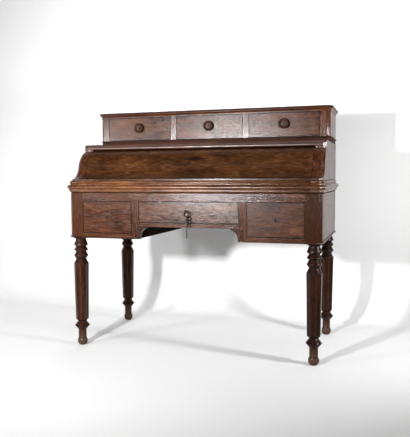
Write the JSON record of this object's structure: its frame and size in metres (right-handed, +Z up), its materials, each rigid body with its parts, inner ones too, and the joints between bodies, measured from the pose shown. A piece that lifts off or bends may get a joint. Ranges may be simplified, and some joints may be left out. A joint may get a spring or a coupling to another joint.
{
  "type": "cylinder desk",
  "caption": "Mahogany cylinder desk on turned, faceted legs: a curved front turns up over pigeonholes, a writing slide draws out, with lockable drawers below and knobbed drawers above.",
  "frame": {"origin": "on the floor below the middle of the bounding box", "axes": "+X to the desk's right as seen from its front, the front faces -Y, +Z up"},
  "size_m": [1.244, 0.651, 1.1649],
  "materials": {
    "mahogany": "french polished",
    "carcass_wood": "planed, unpolished",
    "leather": "tooled skiver",
    "iron": "dulled"
  },
  "bodies": {
    "carcass": {"legs": "mahogany", "base_sides": "mahogany", "frieze_rail": "mahogany", "front_rails": "mahogany", "pedestal_stiles": "mahogany", "knee_brackets": "mahogany", "base_bead": "mahogany", "waist_moulding": "mahogany", "cheeks": "mahogany", "shelf": "mahogany", "gradin_base": "mahogany", "gradin_sides": "mahogany", "gradin_dividers": "mahogany", "cornice_moulding": "mahogany", "top_board": "mahogany", "pigeonholes": "mahogany", "base_back": "carcass_wood", "pedestal_inner_sides": "carcass_wood", "dust_boards": "carcass_wood", "drawer_runners": "carcass_wood", "bed_board": "carcass_wood", "slide_guides": "carcass_wood", "desk_back": "carcass_wood", "gradin_back": "carcass_wood", "pivot_plates": "iron"},
    "cylinder": {"cylinder_front": "mahogany", "cylinder_quadrants": "carcass_wood", "cylinder_pivots": "iron", "cylinder_lock": "iron"},
    "writing_slide": {"slide_board": "mahogany", "slide_front": "mahogany", "slide_leather": "leather"},
    "base_drawer_left": {"base_drawer_left_front": "mahogany", "base_drawer_left_box": "carcass_wood", "base_drawer_left_lock": "iron"},
    "base_drawer_centre": {"base_drawer_centre_front": "mahogany", "base_drawer_centre_box": "carcass_wood", "base_drawer_centre_lock": "iron"},
    "base_drawer_right": {"base_drawer_right_front": "mahogany", "base_drawer_right_box": "carcass_wood", "base_drawer_right_lock": "iron"},
    "upper_drawer_left": {"upper_drawer_left_front": "mahogany", "upper_drawer_left_box": "carcass_wood"},
    "upper_drawer_centre": {"upper_drawer_centre_front": "mahogany", "upper_drawer_centre_box": "carcass_wood"},
    "upper_drawer_right": {"upper_drawer_right_front": "mahogany", "upper_drawer_right_box": "carcass_wood"},
    "small_drawer_left": {"fitment_drawer_left": "mahogany"},
    "small_drawer_right": {"fitment_drawer_right": "mahogany"},
    "bolt": {"lock_bolt": "iron"},
    "key": {"lock_key": "iron"},
    "key_bunch": {"ring_and_long_key": "iron"}
  },
  "joints": [
    {"name": "cylinder_turn", "type": "hinge", "parent": "carcass", "child": "cylinder", "pos_m": [0, -0.11383, 0.85613], "axis": [-1, 0, 0], "range_deg": [0, 65]},
    {"name": "slide_draw", "type": "slide", "parent": "carcass", "child": "writing_slide", "axis": [0, -1, 0], "range_m": [0, 0.27]},
    {"name": "base_drawer_left_draw", "type": "slide", "parent": "carcass", "child": "base_drawer_left", "axis": [0, -1, 0], "range_m": [0, 0.34]},
    {"name": "base_drawer_centre_draw", "type": "slide", "parent": "carcass", "child": "base_drawer_centre", "axis": [0, -1, 0], "range_m": [0, 0.34]},
    {"name": "base_drawer_right_draw", "type": "slide", "parent": "carcass", "child": "base_drawer_right", "axis": [0, -1, 0], "range_m": [0, 0.34]},
    {"name": "upper_drawer_left_draw", "type": "slide", "parent": "carcass", "child": "upper_drawer_left", "axis": [0, -1, 0], "range_m": [0, 0.17]},
    {"name": "upper_drawer_centre_draw", "type": "slide", "parent": "carcass", "child": "upper_drawer_centre", "axis": [0, -1, 0], "range_m": [0, 0.17]},
    {"name": "upper_drawer_right_draw", "type": "slide", "parent": "carcass", "child": "upper_drawer_right", "axis": [0, -1, 0], "range_m": [0, 0.17]},
    {"name": "small_drawer_left_draw", "type": "slide", "parent": "carcass", "child": "small_drawer_left", "axis": [0, -1, 0], "range_m": [0, 0.12]},
    {"name": "small_drawer_right_draw", "type": "slide", "parent": "carcass", "child": "small_drawer_right", "axis": [0, -1, 0], "range_m": [0, 0.12]},
    {"name": "key_turn", "type": "hinge", "parent": "base_drawer_centre", "child": "key", "pos_m": [0, -0.2945, 0.67], "axis": [0, 1, 0], "range_deg": [0, 180]},
    {"name": "bolt_slide", "type": "slide", "parent": "base_drawer_centre", "child": "bolt", "axis": [0, 0, 1], "range_m": [0, 0.008]},
    {"name": "key_swing", "type": "hinge", "parent": "base_drawer_centre", "child": "key_bunch", "pos_m": [0, -0.3045, 0.67], "axis": [0, 1, 0], "range_deg": [-20, 20]}
  ],
  "couplings": [
    {"joint": "key_turn", "follows": "bolt_slide", "rad_per_m": 392.7}
  ]
}
